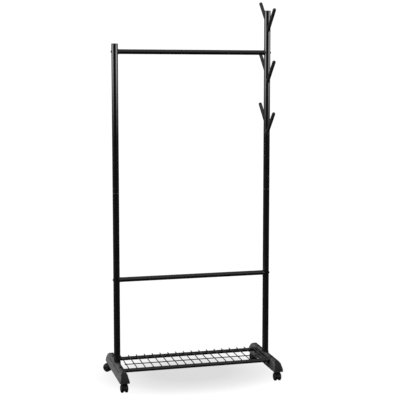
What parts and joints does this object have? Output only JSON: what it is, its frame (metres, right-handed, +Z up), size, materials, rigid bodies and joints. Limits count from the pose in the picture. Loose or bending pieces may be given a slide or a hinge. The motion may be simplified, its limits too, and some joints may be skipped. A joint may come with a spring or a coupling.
{
  "type": "rolling clothes rack",
  "caption": "Free-standing rolling clothes rack: steel posts on moulded feet with casters, a hanging rail, a lower crossbar, a wire shoe shelf and slanted hooks up the taller post.",
  "frame": {"origin": "on the floor, midway between the centre lines of the two posts", "axes": "+Z up, -Y towards the front, +X along the hanging rail towards the post with the hooks"},
  "size_m": [0.7832, 0.4058, 1.76],
  "materials": {
    "black_powder_coat": "satin powder coat on steel tube",
    "black_wire": "satin powder coat on steel wire",
    "foot_plastic": "grained moulded plastic",
    "black_plastic": "fine matt moulding",
    "caster_plastic": "semi-gloss nylon",
    "wheel_plastic": "hard nylon tread",
    "black_screws": "black oxide",
    "zinc_steel": "bright zinc plate"
  },
  "bodies": {
    "root": {"foot_left": "foot_plastic", "foot_right": "foot_plastic", "post_left_lower": "black_powder_coat", "post_left_upper": "black_powder_coat", "post_right_lower": "black_powder_coat", "post_right_upper": "black_powder_coat", "post_cap_left": "black_plastic", "post_cap_right": "black_plastic", "post_base_inserts": "black_plastic", "foot_bolts": "zinc_steel", "foot_washers": "zinc_steel", "hanging_rail": "black_powder_coat", "lower_crossbar": "black_powder_coat", "rail_fitting_left": "black_plastic", "rail_fitting_right": "black_plastic", "crossbar_fitting_left": "black_plastic", "crossbar_fitting_right": "black_plastic", "rail_bolts": "black_screws", "shelf_tube_front": "black_powder_coat", "shelf_tube_rear": "black_powder_coat", "shelf_cross_wires": "black_wire", "shelf_long_wire": "black_wire", "shelf_screws": "black_screws", "hook_arm_top_front": "black_powder_coat", "hook_arm_top_rear": "black_powder_coat", "hook_arm_middle_front": "black_powder_coat", "hook_arm_middle_rear": "black_powder_coat", "hook_arm_lower_front": "black_powder_coat", "hook_arm_lower_rear": "black_powder_coat", "hook_cap_top_front": "black_plastic", "hook_cap_top_rear": "black_plastic", "hook_cap_middle_front": "black_plastic", "hook_cap_middle_rear": "black_plastic", "hook_cap_lower_front": "black_plastic", "hook_cap_lower_rear": "black_plastic", "stem_rings": "zinc_steel", "stem_front_left": "zinc_steel", "stem_front_right": "zinc_steel", "stem_rear_left": "zinc_steel", "stem_rear_right": "zinc_steel"},
    "caster_front_left": {"housing_front_left": "caster_plastic", "axle_front_left": "zinc_steel"},
    "wheel_front_left_a": {"wheel_front_left_a": "wheel_plastic"},
    "wheel_front_left_b": {"wheel_front_left_b": "wheel_plastic"},
    "caster_front_right": {"housing_front_right": "caster_plastic", "axle_front_right": "zinc_steel"},
    "wheel_front_right_a": {"wheel_front_right_a": "wheel_plastic"},
    "wheel_front_right_b": {"wheel_front_right_b": "wheel_plastic"},
    "caster_rear_left": {"housing_rear_left": "caster_plastic", "axle_rear_left": "zinc_steel"},
    "wheel_rear_left_a": {"wheel_rear_left_a": "wheel_plastic"},
    "wheel_rear_left_b": {"wheel_rear_left_b": "wheel_plastic"},
    "caster_rear_right": {"housing_rear_right": "caster_plastic", "axle_rear_right": "zinc_steel"},
    "wheel_rear_right_a": {"wheel_rear_right_a": "wheel_plastic"},
    "wheel_rear_right_b": {"wheel_rear_right_b": "wheel_plastic"}
  },
  "joints": [
    {"name": "swivel_front_left", "type": "hinge", "parent": "root", "child": "caster_front_left", "pos_m": [-0.361, -0.156, 0.045], "axis": [0, 0, 1], "continuous": true},
    {"name": "swivel_front_right", "type": "hinge", "parent": "root", "child": "caster_front_right", "pos_m": [0.361, -0.156, 0.045], "axis": [0, 0, 1], "continuous": true},
    {"name": "swivel_rear_left", "type": "hinge", "parent": "root", "child": "caster_rear_left", "pos_m": [-0.361, 0.156, 0.045], "axis": [0, 0, 1], "continuous": true},
    {"name": "swivel_rear_right", "type": "hinge", "parent": "root", "child": "caster_rear_right", "pos_m": [0.361, 0.156, 0.045], "axis": [0, 0, 1], "continuous": true},
    {"name": "spin_front_left_a", "type": "hinge", "parent": "caster_front_left", "child": "wheel_front_left_a", "pos_m": [-0.361, -0.176, 0.019], "axis": [1, 0, 0], "continuous": true},
    {"name": "spin_front_left_b", "type": "hinge", "parent": "caster_front_left", "child": "wheel_front_left_b", "pos_m": [-0.361, -0.176, 0.019], "axis": [1, 0, 0], "continuous": true},
    {"name": "spin_front_right_a", "type": "hinge", "parent": "caster_front_right", "child": "wheel_front_right_a", "pos_m": [0.361, -0.176, 0.019], "axis": [1, 0, 0], "continuous": true},
    {"name": "spin_front_right_b", "type": "hinge", "parent": "caster_front_right", "child": "wheel_front_right_b", "pos_m": [0.361, -0.176, 0.019], "axis": [1, 0, 0], "continuous": true},
    {"name": "spin_rear_left_a", "type": "hinge", "parent": "caster_rear_left", "child": "wheel_rear_left_a", "pos_m": [-0.37609, 0.16912, 0.019], "axis": [-0.6561, -0.7547, 0], "continuous": true},
    {"name": "spin_rear_left_b", "type": "hinge", "parent": "caster_rear_left", "child": "wheel_rear_left_b", "pos_m": [-0.37609, 0.16912, 0.019], "axis": [-0.6561, -0.7547, 0], "continuous": true},
    {"name": "spin_rear_right_a", "type": "hinge", "parent": "caster_rear_right", "child": "wheel_rear_right_a", "pos_m": [0.35822, 0.17581, 0.019], "axis": [-0.9903, -0.1392, 0], "continuous": true},
    {"name": "spin_rear_right_b", "type": "hinge", "parent": "caster_rear_right", "child": "wheel_rear_right_b", "pos_m": [0.35822, 0.17581, 0.019], "axis": [-0.9903, -0.1392, 0], "continuous": true}
  ]
}
